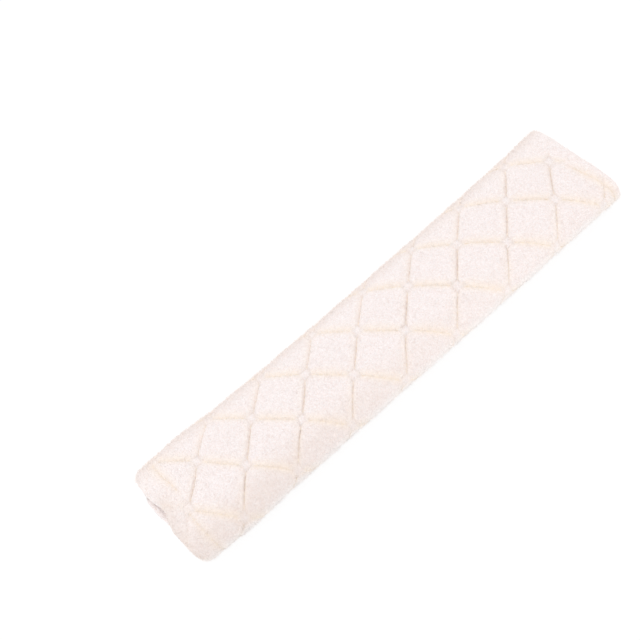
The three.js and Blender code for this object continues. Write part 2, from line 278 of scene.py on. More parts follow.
quilting = {
    "halfAlong": 17.2,  # half a diamond along the pad
    "halfAcross": 20.1,  # and half of one round it
    "originX": -8.3,
    "originS": -2.8,
    "drift": 5.2,  # how far the seams have crept at the near end
    "wander": 0.7,  # how far seams stray from straight
    "wanderSize": (23, 19),  # over these lengths, round the pad and along it
    "depth": 1.8,
    "corner": 5.6,  # radius of a diamond's corners
    "knot": 0.82,  # height of the knot at a crossing, as a share of the depth
    "knotRise": (0.1, 1.3),  # it rises between these distances from the diamonds' edges
    "knotCalm": (0.6, 5.0),  # seams are shallower by this share near a crossing, within this reach
    "knotClear": (0.9, 3.6),  # and their painted crease shade and painted warm bounce light fade
    "seamHalf": 0.2,  # half width of the pressed line itself
    "crease": 0.38,  # width of the steep part beside it
    "creaseShare": 0.65,  # how much of the depth is in that part
    "secondShare": 0.5,  # the seams of the second direction are pressed this much
    "secondLine": 0.1,  # and their painted crease shade is this strong
    "core": 0.38,  # half width of the painted crease shade
    "glow": (2.6, 1.4, 3.2, 1.7),  # half width of the painted warm bounce light before and past each seam, by direction
    "uneven": 0.08,  # how much the diamonds differ in height
    "stitches": 8,  # on each side of a diamond
    "pucker": 0.14,
    "puckerReach": 2.0,
    "rays": (12, 3.5, 1.8),  # puckers round a knot: their number, distance from it and reach
    "pile": 0.24,  # height of the curls
    "pileSize": (1.2, 2.3),
}
hems = {
    "near": 11.8,  # hem seam, from the near end
    "nearFrom": (-31, -24),  # where round the pad it comes in
    "nearKnot": (6, 9, 0.8),  # a knot hides it there: place, reach and share
    "nearRight": (6, 20, 0.3),  # and past these places it is weaker by this share
    "farAt": (-10, 10, 34),  # places round the pad
    "far": (12.0, 8.0, 5.0),  # and how far from the far end its hem seam lies there
    "farFrom": (0, 16, 0.1),  # where that comes in, and its share before
    "stray": 0.4,
    "straySize": 9,
    "depth": 0.55,
    "width": 1.5,
    "line": 1.4,  # strength of its painted crease shade
    "paintedBounce": 1.6,  # and of its painted warm bounce light
    "band": 4.0,  # past it the diamonds sink away over this length
    "pattern": (0.35, 0.15),  # and this much of them still shows, at the near and at the far end
    "edgeSeam": 3.6,  # seam along each flap's edge
    "edgeDepth": 0.5,
    "nearRound": 6.6,  # radii of the ends' and the flaps' edges
    "farRound": 2.4,
    "edgeRound": 1.4,
    "roundShare": (0.5, 0.2),  # largest radius as a share of the thickness, and what the near top adds
    "roundBetween": (50, 36),
}
shading = {
    "end": 0.6,  # how strongly painted shade darkens the pile where it rolls over the near end
    "endReach": 12.0,
    "endBetween": ((-14, 4), (60, 46)),  # places round the pad where that comes in and goes
    "left": 0.5,  # and over the left side
    "leftBetween": (-18, -31),
    "right": 0.1,  # and over the right side
    "rightNear": 0.36,  # what the right side gains towards the near end
    "rightBetween": (100, -120),
    "rightAt": (30, 9),  # middle and reach of its band
    "pale": 0.7,  # how far the pile is paled low on the right side, where the floor throws light up to it
    "paleBetween": ((36, 42), (58, 50)),
}
diamondSide = math.hypot(quilting["halfAlong"], quilting["halfAcross"])
diamondHalf = quilting["halfAlong"] * quilting["halfAcross"] / diamondSide  # from its middle to its side


def drift(x):
    # the seams creep towards +Y with the cube of the distance from the far end
    return quilting["drift"] * ((farX - x) / (farX - nearX)) ** 3


def strays(s, x):
    # how far the cloth has slipped along the pad and round it, as smooth noise
    sizeX, sizeS = quilting["wanderSize"]
    return quilting["wander"] * waveNoise(s, x, sizeX, 1), quilting["wander"] * waveNoise(s, x, sizeS, 2)


def latticeAt(s, x):
    # where a point lies in the lattice of seams, counted in diamonds: each seam is a whole number
    strayX, strayS = strays(s, x)
    along = (x + strayX - quilting["originX"]) / quilting["halfAlong"]
    across = (s + strayS + drift(x) - quilting["originS"]) / quilting["halfAcross"]
    return (along + across) / 2, (along - across) / 2


def latticePlace(p, r):
    # the place of a point of the lattice, found by taking the strays off again until it settles
    flatX = quilting["originX"] + quilting["halfAlong"] * (p + r)
    flatS = quilting["originS"] + quilting["halfAcross"] * (p - r)
    s, x = flatS, flatX
    for turn in range(6):
        strayX, strayS = strays(s, x)
        s, x = flatS - drift(x) - strayS, flatX - strayX
    return s, x


def bell(distance, reach):
    # 1 at the middle, falling with the square of the distance
    return np.exp(-(distance / reach) ** 2)


def quiltHeight(s, x):
    # Height of the quilting, 0 in a seam and 1 on a diamond: a steep exponential rise and a rounder one, by
    # the distance in from the edge of the nearest rounded diamond, which is below 0 in the knots. Then the
    # strength of the seam's painted crease shade, its painted warm bounce light, and the puckers, cosines
    # beside it and round knots.
    q = quilting
    p, r = latticeAt(s, x)
    reach = [np.abs(2 * (v - np.floor(v)) - 1) * diamondHalf - diamondHalf + q["corner"] for v in (p, r)]
    outside = np.hypot(np.clip(reach[0], 0, None), np.clip(reach[1], 0, None))
    distance = q["corner"] - outside - np.minimum(np.maximum(*reach), 0)
    inside = np.clip((distance - q["seamHalf"]) / (diamondHalf - q["seamHalf"]), 0, 1)
    steep = 1 - np.exp(-(np.clip(distance - q["seamHalf"], 0, None) / q["crease"]) ** 1.4)
    puff = q["creaseShare"] * steep + (1 - q["creaseShare"]) * (1 - (1 - inside) ** 2.6) ** 0.8
    scatter = (np.floor(p) * 31 + np.floor(r) * 17) * 12.9898  # its sine is as good as random
    puff = puff * (1 + q["uneven"] * np.sin(scatter))
    height = np.where(distance > 0, puff, q["knot"] * smooth(*q["knotRise"], -distance))
    offP, offR = np.abs(p - np.round(p)), np.abs(r - np.round(r))
    fromKnot = np.hypot(offP, offR) * diamondSide
    first = smooth(-0.12, 0.12, offR - offP)  # 1 beside the seams of the first direction, 0 beside the others
    calm, calmReach = q["knotCalm"]
    pressed = (1 - calm * bell(fromKnot, calmReach)) * (q["secondShare"] * (1 - first) + first)
    height = 1 - (1 - height) * pressed
    cleared, clearReach = q["knotClear"]
    clear = 1 - cleared * bell(fromKnot, clearReach)
    shown = clear * (q["secondLine"] + (1 - q["secondLine"]) * first)
    before, past, above, below = q["glow"]
    firstGlow = np.where(p < np.round(p), before, past)
    glow = np.where(offP < offR, firstGlow, np.where(r > np.round(r), above, below))
    # painted warm bounce light beside the seams, fading near the knots
    paintedBounce = np.exp(-(np.abs(distance) / glow) ** 1.5) * clear * (1 - 0.5 * first)
    run = np.where(offP < offR, r, p) * q["stitches"]
    fade = np.exp(-np.clip(distance, 0, None) / q["puckerReach"]) * smooth(0.2, 0.8, distance)
    count, rayAt, rayReach = q["rays"]
    rays = np.cos(count * np.arctan2(p - np.round(p), r - np.round(r))) * bell(fromKnot - rayAt, rayReach)
    return height, shown, paintedBounce, np.cos(2 * np.pi * run) * fade + rays


def hemPlaces(s):
    # how far each end's hem seam lies from it
    stray = hems["stray"] * waveNoise(s, s * 0, hems["straySize"], 3)
    return hems["near"] + stray, np.interp(s, hems["farAt"], hems["far"]) + stray


def hemPast(s, x):
    # how far past its hem seam a point lies, and how strongly that seam is pressed there
    past = np.where(x < 0, *hemPlaces(s)) - fromEnd(x)
    knotAt, knotReach, knotShare = hems["nearKnot"]
    rightLow, rightHigh, rightLoss = hems["nearRight"]
    nearPress = smooth(*hems["nearFrom"], s) * (1 - knotShare * bell(s - knotAt, knotReach))
    nearPress = nearPress * (1 - rightLoss * smooth(rightLow, rightHigh, s))
    farLow, farHigh, farLeast = hems["farFrom"]
    return past, np.where(x < 0, nearPress, farLeast + (1 - farLeast) * smooth(farLow, farHigh, s))


def coverShape(s, x):
    # Depth of the plush out from the lining face without its pile: the wall's thickness, less the seams, the
    # grooves of the hems and the rounding at the edges. Then how strongly the quilting's lines show, the
    # painted crease shade of the hems and the painted warm bounce light of all seams.
    seamShare, thickness = seamAndThickness(s)
    height, shown, paintedBounce, pucker = quiltHeight(s, x)
    past, pressed = hemPast(s, x)
    band = smooth(0, hems["band"], past) * (1 - np.where(x < 0, *hems["pattern"]))
    height = height + (1 - height) * band
    shown, paintedBounce = shown * (1 - band), paintedBounce * (1 - band)
    line = 0 * s
    edge = fromFlapEdge(s)
    hemSeam = (np.abs(past), hems["depth"] * pressed)
    edgeSeam = (np.abs(edge - hems["edgeSeam"]), hems["edgeDepth"])
    for away, strength in (hemSeam, edgeSeam):
        groove = np.exp(-(np.clip(away - quilting["seamHalf"], 0, None) / hems["width"]) ** 1.3)
        height = height - strength * groove * height
        # the hems' painted crease shade and painted warm bounce light
        line = np.maximum(line, strength * hems["line"] * np.exp(-(away / quilting["core"]) ** 1.5))
        paintedBounce = np.maximum(paintedBounce, strength * hems["paintedBounce"] * np.exp(-(away / quilting["glow"][0]) ** 1.6))
    share, nearShare = hems["roundShare"]
    thickest = thickness * (share + nearShare * smooth(*hems["roundBetween"], np.abs(s)) * (x < 0))
    drop = roundDrop(fromEnd(x), np.minimum(np.where(x < 0, hems["nearRound"], hems["farRound"]), thickest))
    drop = drop + roundDrop(edge, hems["edgeRound"])
    depth = thickness - quilting["depth"] * seamShare * (1 - height) - drop
    return depth + quilting["pucker"] * pucker * seamShare, shown, line, paintedBounce


def foldShade(s, x):
    # how strongly painted shade darkens the pile where the near end and the two sides roll over
    comes, goes = shading["endBetween"]
    end = shading["end"] * smooth(shading["endReach"], 0, x - nearX)
    end = end * smooth(*comes, s) * smooth(*goes, s)
    middle, reach = shading["rightAt"]
    right = shading["right"] + shading["rightNear"] * smooth(*shading["rightBetween"], x)
    left = shading["left"] * smooth(*shading["leftBetween"], s)
    return np.maximum(end, np.maximum(left, right * bell(s - middle, reach)))


def paleEdge(s):
    # how far painted light from the floor pales the pile low on the right side
    comes, goes = shading["paleBetween"]
    return shading["pale"] * smooth(*comes, s) * smooth(*goes, s)


def coverFace(s, x):
    # the plush with its curls, which are pressed flat in the seams
    depth, *marks = coverShape(s, x)
    fine, coarse = quilting["pileSize"]
    grain = 0.7 * waveNoise(s, x, fine, 4) + 0.3 * waveNoise(s, x, coarse, 5)
    return depth + quilting["pile"] * grain * (1 - 0.6 * marks[1]), marks


layers = {
    "liningSheet": 0.8,
    "insideShare": 0.84,  # the run round the inside of the wall, as a share of the run outside
    "gap": 0.3,
    "faceCloth": 1.7,
    "hemFold": 10.0,
    "edgeFold": 3.0,
    "climb": 0.4,  # the walls of the recess and the pocket climb over this length
    "hemRound": (1.2, 0.15),  # radius at the ends' inner edge, and the most it may be of the thickness
    "flapRound": 0.8,
    "rimLift": 0.3,  # the end walls reach this close to the underside
    "step": 0.52,  # fine grid of the plush face
    "ratio": 6,  # how many fine steps one step of its underside spans
    "finer": (5, 3),  # how far in from the ends and from the flaps' edges that grid is finer
    "foamSteps": (90, 60),
    "liningSteps": (110, 90),
}


def foamDepth(s):
    # the foam's outer face lies the face cloth and the seams' depth below the plush
    seamShare, thickness = seamAndThickness(s)
    return thickness - layers["faceCloth"] - quilting["depth"] * seamShare


def thickStretch():
    # the first and last place round the pad where the wall is full
    thick = stripS[stripRows[5] > wall["fullest"]]
    return thick[0], thick[-1]


def underside(s, x):
    # the cover's inner side: level with the lining at the hems, then a recess, then the pocket for the foam
    hemFold, edgeFold, climb = layers["hemFold"], layers["edgeFold"], layers["climb"]
    recessed = layers["liningSheet"] + layers["gap"]
    foamFirst, foamLast = thickStretch()
    end, edge = fromEnd(x), fromFlapEdge(s)
    inRecess = smooth(hemFold - climb, hemFold, end) * smooth(edgeFold - climb, edgeFold, edge)
    fromThin = np.minimum(s - foamFirst, foamLast - s)
    inPocket = smooth(hemFold, hemFold + climb, end) * smooth(0, climb, fromThin)
    radius, mostShare = layers["hemRound"]
    lift = roundDrop(end, np.minimum(radius, seamAndThickness(s)[1] * mostShare))
    lift = lift + roundDrop(edge, layers["flapRound"])
    return lift + recessed * inRecess + (foamDepth(s) - recessed) * inPocket


def evenStations(low, high, rounding):
    # Stations in a whole number of coarse steps, a third as far apart where the edges turn over. The first
    # two are at one place, and so are the last two: the end wall stands between them.
    step, ratio = layers["step"], layers["ratio"]
    count = int(np.ceil((high - low + 1.4 * rounding) / step / ratio)) * ratio
    away = np.minimum(np.arange(count), np.arange(count)[::-1]) * step
    widths = (0.3 + 0.7 * smooth(0, 2 * rounding, away)) * (away > 0)
    return low + (high - low) * np.concatenate([[0], np.cumsum(widths) / widths.sum()])


def plushCover():
    # The outer face is a fine grid and the underside a coarse one. The fine rim is drawn in almost to the
    # underside, which makes the end walls, and triangles join the two rims.
    ratio = layers["ratio"]
    finerX, finerS = layers["finer"]
    x = evenStations(nearX, farX, finerX)
    s = evenStations(firstS, lastS, finerS)
    gridX, gridS = flatGrid(x, s)
    depth, marks = coverFace(gridS, gridX)
    rim = np.ones((len(x), len(s)), bool)
    rim[1:-1, 1:-1] = False
    drawnIn = underside(gridS, gridX) + layers["rimLift"]
    face = wallPoints(gridS, gridX, np.where(rim.reshape(-1), drawnIn, depth))
    coarseX, coarseS = x[::ratio], s[::ratio]
    underX, underS = flatGrid(coarseX, coarseS)
    under = wallPoints(underS, underX, underside(underS, underX))
    start = len(face)
    fine = np.arange(start).reshape(len(x), len(s))
    coarse = start + np.arange(len(under)).reshape(len(coarseX), len(coarseS))
    rims = [
        joinRims(fine[0], coarse[0], ratio),
        joinRims(fine[-1], coarse[-1], ratio)[:, ::-1],
        joinRims(fine[:, 0], coarse[:, 0], ratio)[:, ::-1],
        joinRims(fine[:, -1], coarse[:, -1], ratio),
    ]
    faces = [
        gridFaces(len(x), len(s), 0, True),
        gridFaces(len(coarseX), len(coarseS), start, False),
        np.concatenate(rims),
    ]
    uv = np.concatenate([np.stack([gridX, gridS], -1), np.stack([underX, underS], -1)]) / 10
    # the marks carry the painted crease shade, painted warm bounce light, painted fold shade and painted
    # floor light to the materials
    keys = ("shown", "line", "paintedBounce", "lanes", "rows", "shade", "pale")
    marks = [*marks, *latticeAt(gridS, gridX), foldShade(gridS, gridX), paleEdge(gridS)]
    values = {key: np.concatenate([value, np.zeros(len(under))]) for key, value in zip(keys, marks)}
    points = np.concatenate([face, under])
    print("plush cover", len(points), "points")
    return makeMesh("plushCover", points, faces, uv, values)


plush = plushCover()
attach(plush, "root")
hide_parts("plush_cover")


# inside layers


def sheetBetween(name, x, s, lowDepth, highDepth):
    # a closed layer of the strip between two depths, each a number or one for each point
    gridX, gridS = flatGrid(x, s)
    low = wallPoints(gridS, gridX, lowDepth(gridS, gridX))
    high = wallPoints(gridS, gridX, highDepth(gridS, gridX))
    start = len(low)
    ids = np.arange(start).reshape(len(x), len(s))
    walls = []
    for rim, flip in ((ids[0], True), (ids[-1], False), (ids[:, 0], False), (ids[:, -1], True)):
        quads = np.stack([rim[:-1], rim[1:], rim[1:] + start, rim[:-1] + start], axis=-1)
        walls.append(quads[:, ::-1] if flip else quads)
    faces = [gridFaces(len(x), len(s), 0), gridFaces(len(x), len(s), start, True)] + walls
    uv = np.concatenate([np.stack([gridX, gridS], -1)] * 2) / 10
    return makeMesh(name, np.concatenate([low, high]), faces, uv)


def foamSheet():
    # the foam fills the pocket, a gap clear of its walls
    gap = layers["gap"]
    foamFirst, foamLast = thickStretch()
    end = layers["hemFold"] + 2 * gap + layers["climb"]
    stepsX, stepsS = layers["foamSteps"]
    x = np.linspace(nearX + end, farX - end, stepsX)
    s = np.linspace(foamFirst + 2 * gap, foamLast - 2 * gap, stepsS)
    base = layers["liningSheet"] + 2 * gap
    return sheetBetween("foamSheet", x, s, lambda s, x: base, lambda s, x: foamDepth(s) - gap)


def liningCloth():
    # The lining fills the recess between the hems, and its belt side ripples a little. Its length and its run
    # round the outside of the wall come with it.
    inset = layers["edgeFold"] + layers["gap"]
    end = layers["hemFold"] + layers["gap"]
    stepsX, stepsS = layers["liningSteps"]
    x = np.linspace(nearX + end, farX - end, stepsX)
    s = np.linspace(firstS + inset, lastS - inset, stepsS)
    ripple = lambda s, x: 0.12 + 0.1 * waveNoise(s, x, 14, 8) + 0.05 * waveNoise(s, x, 5, 9)
    piece = sheetBetween("liningCloth", x, s, ripple, lambda s, x: layers["liningSheet"])
    return piece, x[-1] - x[0], s[-1] - s[0]


foam = foamSheet()
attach(foam, "root")
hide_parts("foam_padding")

lining, liningLength, outsideRun = liningCloth()
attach(lining, "root")
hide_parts("inner_lining")
print("inside layers made")


# sewing thread

sewing = {
    "radius": 0.18,
    "length": 0.36,  # half of a stitch, as a share of the pitch
    "proud": 0.05,  # how far the middle of a stitch stands off the cloth
    "dive": 0.35,  # and how deep its ends dip into it
    "rings": 6,
    "sides": 5,
    "diamonds": 16,  # the lattice is sewn this far each way, and cut off at the pad
    "endClear": 2.0,  # quilting stitches keep this far from the ends
    "edgeClear": (6.0, 5.0),  # and this far from the inner and the outer flap's edge
    "hemClear": 0.8,
    "leastPressed": 0.12,  # and show where seams are pressed at least this much
    "hemPressed": 0.5,  # hem stitches show where their seam is; elsewhere the pile hides them
    "rowStart": (5.0, 6.0),  # the rows of the hems and of the flap edges start this far in
    "floor": 0.02,
}


def seamStitches():
    # the middle of every stitch of the quilting as a place in the lattice, and which way its seam runs
    half, count = sewing["diamonds"], quilting["stitches"]
    each = (np.arange(count)[1:-1] + 0.5) / count  # none in the knots
    steps = (np.arange(-half, half)[:, None] + each).reshape(-1)
    line, step = flatGrid(np.arange(-half, half + 1), steps)
    middles = np.concatenate([np.stack([line, step], -1), np.stack([step, line], -1)])
    ways = np.concatenate([np.tile([0.0, 1.0], (len(line), 1)), np.tile([1.0, 0.0], (len(line), 1))])
    return middles, ways / count


def stitchPaths():
    # each stitch is a short arch over the cloth: the points along it, and those a millimetre further out
    t = np.linspace(-1, 1, sewing["rings"])
    middles, ways = seamStitches()
    spots = middles[:, None] + ways[:, None] * (t * sewing["length"])[:, None]
    s, x = latticePlace(spots[..., 0], spots[..., 1])
    innerClear, outerClear = sewing["edgeClear"]
    keep = (s.min(1) > firstS + innerClear) & (s.max(1) < lastS - outerClear)
    keep &= (fromEnd(x).min(1) > sewing["endClear"]) & (hemPast(s, x)[0].max(1) < -sewing["hemClear"])
    keep &= seamAndThickness(s)[0].min(1) > sewing["leastPressed"]
    allS, allX = [s[keep]], [x[keep]]
    pitch = diamondSide / quilting["stitches"]
    startS, startX = sewing["rowStart"]
    rowS = np.arange(firstS + startS, lastS - startS, pitch)[:, None] + t * sewing["length"] * pitch
    nearHem, farHem = hemPlaces(rowS)
    for hemX in (nearX + nearHem, farX - farHem):
        seen = hemPast(rowS, hemX)[1].min(1) > sewing["hemPressed"]
        allS.append(rowS[seen])
        allX.append(hemX[seen])
    rowX = np.arange(nearX + startX, farX - startX, pitch)[:, None] + t * sewing["length"] * pitch
    for edge in (firstS + hems["edgeSeam"], lastS - hems["edgeSeam"]):
        allS.append(np.full(rowX.shape, edge))
        allX.append(rowX)
    s, x = np.concatenate(allS), np.concatenate(allX)
    lift = sewing["proud"] * (1 - t ** 2) - sewing["dive"] * t ** 8
    depth = coverShape(s, x)[0] + lift
    return wallPoints(s, x, depth), wallPoints(s, x, depth + 1)


def sewingThread():
    # every stitch as a round thread along its arch
    path, above = stitchPaths()
    up = above - path + [0, 0, 1e-4]
    points, faces = tubes(path, sewing["radius"], sewing["sides"], up)
    points[:, 2] = np.maximum(points[:, 2], sewing["floor"])
    print("stitches", len(path))
    return makeMesh("sewingThread", points, faces)


thread = sewingThread()
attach(thread, "root")


# pile fibres that stand out of the plush

fuzz = {
    "count": 98000,
    "hemCount": 9000,
    "height": (0.35, 1.3),
    "lean": 0.55,
    "leanSpread": (0.2, 1.6),
    "outward": 3.5,  # this close to an end they lean out over it
    "width": 0.09,  # half width at the root
    # each of a fibre's corners: its share of the height and of the lean, and how far it lies off the middle
    "corners": ((-0.1, 0, 1), (-0.1, 0, -1), (0.6, 0.35, 0.8), (0.6, 0.35, -0.8), (1, 1, 0)),
    "bareSeam": 0.9,  # how many of them the seams of the hems press away
    "bareFlap": 20,  # none between the flaps, which is this far in from the inner flap's edge
    "flapEnd": 8,  # apart from this far in from the ends
    "seed": 31,
}


def fibres(rng, s, x, depth, rise):
    # Each fibre is a bent blade of two faces: it rises along the wall, leans to one side and ends in a tip.
    height = rng.uniform(*fuzz["height"], len(s))
    way = rng.uniform(0, 2 * np.pi, len(s))
    lean = fuzz["lean"] * height * rng.uniform(*fuzz["leanSpread"], len(s))
    outward = np.sign(x) * (1 - smooth(0, fuzz["outward"], fromEnd(x))) * height
    leanX, leanS = lean * np.cos(way) + outward, lean * np.sin(way)
    sideX, sideS = -np.sin(way) * fuzz["width"], np.cos(way) * fuzz["width"]
    rows = []
    for share, bent, wide in fuzz["corners"]:
        placeS, placeX = s + bent * leanS + wide * sideS, x + bent * leanX + wide * sideX
        rows.append(wallPoints(placeS, placeX, depth + share * height * rise))
    return np.stack(rows, 1)


def pileFuzz():
    # pile stands all over the outer face, but not between the flaps, and on the hems that are folded in
    rng = np.random.default_rng(fuzz["seed"])
    s = rng.uniform(firstS + 1, lastS - 1, fuzz["count"])
    x = rng.uniform(nearX + 0.2, farX - 0.2, fuzz["count"])
    depth, marks = coverFace(s, x)
    keep = rng.uniform(size=len(s)) > marks[1] * fuzz["bareSeam"]
    keep &= (s > firstS + fuzz["bareFlap"]) | (fromEnd(x) < fuzz["flapEnd"])
    s, x = s[keep], x[keep]
    outer = fibres(rng, s, x, depth[keep], 1)
    hemS = rng.uniform(firstS + 1, lastS - 1, fuzz["hemCount"])
    hemX = rng.choice([nearX, farX], fuzz["hemCount"])
    hemX = hemX - np.sign(hemX) * rng.uniform(0.1, 1, fuzz["hemCount"]) * layers["hemFold"]
    inner = fibres(rng, hemS, hemX, underside(hemS, hemX), -1)
    points = np.concatenate([outer, inner]).reshape(-1, 3)
    base = np.arange(len(points) // 5)[:, None] * 5
    faces = [base + np.array([0, 1, 3, 2]), base + np.array([2, 3, 4])]
    s, x = np.repeat(np.concatenate([s, hemS]), 5), np.repeat(np.concatenate([x, hemX]), 5)
    # the painted fold shade and painted floor light, as on the plush
    values = {"shade": foldShade(s, x), "pale": paleEdge(s)}
    print("pile fibres", len(base))
    return makeMesh("pileFuzz", points, faces, np.stack([x, s], -1) / 10, values)


fuzzy = pileFuzz()
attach(fuzzy, "root")


# hook and loop tapes

tapes = {
    "width": 20.0,
    "inset": 12.0,  # from each end of the pad
    "ribPitch": 1.6,
    "rib": 0.04,
    "stripSteps": (320, 40),
    "hookBase": (3.8, 4.35),  # lowest and highest point of the woven strip
    "hookTip": 5.0,
    "hookPitch": (2.1, 1.9),  # along and across
    "hookReach": 0.7,
    "hookRadius": 0.13,
    "hookClear": 1.5,  # hooks keep this far from the strip's edges
    "loopBase": (5.85, 6.3),
    "loopTip": 5.3,
    "loopCount": 1500,
    "loopWidth": (0.4, 0.9),
    "loopRadius": 0.07,
    "loopClear": 2.0,
    "seed": 8,
}


def padMiddle(x):
    # how far the pad's middle lies towards +Y
    return np.interp(x, wall["bendAt"], wall["bend"])


def ridgedStrip(low, high):
    # a woven strip: a flat superellipse as its section, with fine ribs across it
    end = wall["length"] / 2 - tapes["inset"]
    stepsX, stepsY = tapes["stripSteps"]
    x = np.linspace(-end, end, stepsX)
    turn = np.linspace(0, 2 * np.pi, stepsY + 1)[:-1]
    y = tapes["width"] / 2 * np.sign(np.cos(turn)) * np.abs(np.cos(turn)) ** 0.25
    z = (low + high) / 2 + (high - low) / 2 * np.sign(np.sin(turn)) * np.abs(np.sin(turn)) ** 0.45
    gridX, gridY = np.meshgrid(x, y, indexing="ij")
    rib = tapes["rib"] * np.cos(2 * np.pi * gridX / tapes["ribPitch"])
    points = np.stack([gridX, gridY + padMiddle(gridX), z + rib * np.sin(turn)], -1).reshape(-1, 3)
    ids = np.arange(gridX.size).reshape(gridX.shape)
    turned = np.roll(ids, -1, axis=1)
    quads = np.stack([ids[:-1], ids[1:], turned[1:], turned[:-1]], axis=-1).reshape(-1, 4)[:, ::-1]
    return points, [quads, ids[:1][:, ::-1], ids[-1:]]


def combine(parts):
    # several sets of points and faces as one
    start, points, faces = 0, [], []
    for some, sets in parts:
        points.append(some)
        faces += [group + start for group in sets]
        start += len(some)
    return np.concatenate(points), faces


def hookTape():
    # the hooks are short threads in rows, which rise by a sine and bend over to either side in turn
    pitchX, pitchY = tapes["hookPitch"]
    end = wall["length"] / 2 - tapes["inset"] - tapes["hookClear"]
    half = tapes["width"] / 2 - tapes["hookClear"]
    x, y = flatGrid(np.arange(-end, end, pitchX), np.arange(-half, half + 0.1, pitchY))
    t = np.linspace(0, 1, 6)
    reach = tapes["hookReach"] * smooth(0.3, 1, t) * np.where(np.arange(len(x)) % 2, 1, -1)[:, None]
    low, high = tapes["hookBase"][1] - 0.1, tapes["hookTip"] - tapes["hookRadius"]
    rise = np.broadcast_to(low + (high - low) * np.sin(t * 2.2), reach.shape)
    across = np.broadcast_to((y + padMiddle(x))[:, None], reach.shape)
    path = np.stack([x[:, None] + reach, across, rise], -1)
    hooks = tubes(path, tapes["hookRadius"], 4, [0, 1, 0])
    return makeMesh("hookTape", *combine([ridgedStrip(*tapes["hookBase"]), hooks]))


def loopTape():
    # the loops are thin arches, parabolas that hang from the strip at random, each turned its own way
    rng = np.random.default_rng(tapes["seed"])
    count, clear, base = tapes["loopCount"], tapes["loopClear"], tapes["loopBase"][0]
    x = rng.uniform(-1, 1, count) * (wall["length"] / 2 - tapes["inset"] - clear)
    y = rng.uniform(-1, 1, count) * (tapes["width"] / 2 - clear)
    way, wide = rng.uniform(0, 2 * np.pi, count), rng.uniform(*tapes["loopWidth"], count)
    t = np.linspace(-1, 1, 7)
    out = t * wide[:, None]
    drop = (base - tapes["loopTip"]) * rng.uniform(0.6, 0.9, count)[:, None] * (1 - t ** 2)
    along = x[:, None] + out * np.cos(way)[:, None]
    across = (y + padMiddle(x))[:, None] + out * np.sin(way)[:, None]
    path = np.stack([along, across, base + 0.1 - drop], -1)
    side = np.stack([-np.sin(way), np.cos(way), 0 * way], -1)[:, None]
    loops = tubes(path, tapes["loopRadius"], 3, side)
    return makeMesh("loopTape", *combine([ridgedStrip(*tapes["loopBase"]), loops]))


hooks = hookTape()
loops = loopTape()
for piece, node, slot in ((hooks, "hook_tape", "hook_nylon"), (loops, "loop_tape", "loop_nylon")):
    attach(piece, "root")
    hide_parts(node)
print("tapes made")


# shader wiring


class Wire:
    # an output socket whose operators add Math nodes
    def __init__(self, graph, socket):
        self.graph, self.socket = graph, socket

    def __add__(self, other):
        return self.graph.maths("ADD", self, other)

    def __sub__(self, other):
        return self.graph.maths("SUBTRACT", self, other)

    def __rsub__(self, other):
        return self.graph.maths("SUBTRACT", other, self)

    def __mul__(self, other):
        return self.graph.maths("MULTIPLY", self, other)


class Graph:
    # the wiring of a material's or a world's nodes
    def __init__(self, owner):
        owner.use_nodes = True
        self.owner = owner
        self.tree = owner.node_tree

    def feed(self, socket, value):
        # a link, or a plain value
        if isinstance(value, Wire):
            self.tree.links.new(value.socket, socket)
        else:
            socket.default_value = value

    def node(self, kind, inputs=None, output=0, **settings):
        # a node with its settings and then what its sockets get
        made = self.tree.nodes.new("ShaderNode" + kind)
        for key, value in settings.items():
            setattr(made, key, value)
        for key, value in (inputs or {}).items():
            self.feed(made.inputs[key], value)
        return Wire(self, made.outputs[output])

    def maths(self, operation, *values):
        return self.node("Math", dict(enumerate(values)), operation=operation)

    def value(self, name):
        # a mesh's own number at each point
        return self.node("Attribute", output=2, attribute_name=name)

    def ease(self, value, low, high, first=0.0, last=1.0):
        # first below low, last above high, and a cubic ease between them
        inputs = {"Value": value, "From Min": low, "From Max": high, "To Min": first, "To Max": last}
        return self.node("MapRange", inputs, interpolation_type="SMOOTHSTEP")

    def cloth(self):
        # the place on the cloth in centimetres, along and round the pad
        return self.node("UVMap", uv_map="cloth")

    def place(self):
        # the place in the pad's own frame
        return self.node("TexCoord", output=3)

    def noise(self, vector, scale, detail=2.0, roughness=0.5):
        inputs = {"Vector": vector, "Scale": scale, "Detail": detail, "Roughness": roughness}
        return self.node("TexNoise", inputs)

    def bands(self, vector, scale, way):
        return self.node("TexWave", {"Vector": vector, "Scale": scale}, bands_direction=way)

    def mixColour(self, share, first, second):
        return self.node("Mix", {0: share, 6: first, 7: second}, 2, data_type="RGBA")

    def bump(self, height, strength, distance):
        return self.node("Bump", {"Height": height, "Strength": strength, "Distance": distance})

    def finish(self, **inputs):
        # the sockets of the material's shader, with _ for the blanks in their names
        shader = self.tree.nodes["Principled BSDF"]
        for key, value in inputs.items():
            self.feed(shader.inputs[key.replace("_", " ")], value)
        return self.owner


def newMaterial(name):
    return Graph(bpy.data.materials.new(name))


def linear(red, green, blue):
    # a colour as a screen shows it, 0 to 255, in the shader's linear units
    c = np.array([red, green, blue]) / 255
    value = np.where(c <= 0.04045, c / 12.92, ((c + 0.055) / 1.055) ** 2.4)
    return (*[float(v) for v in value], 1.0)


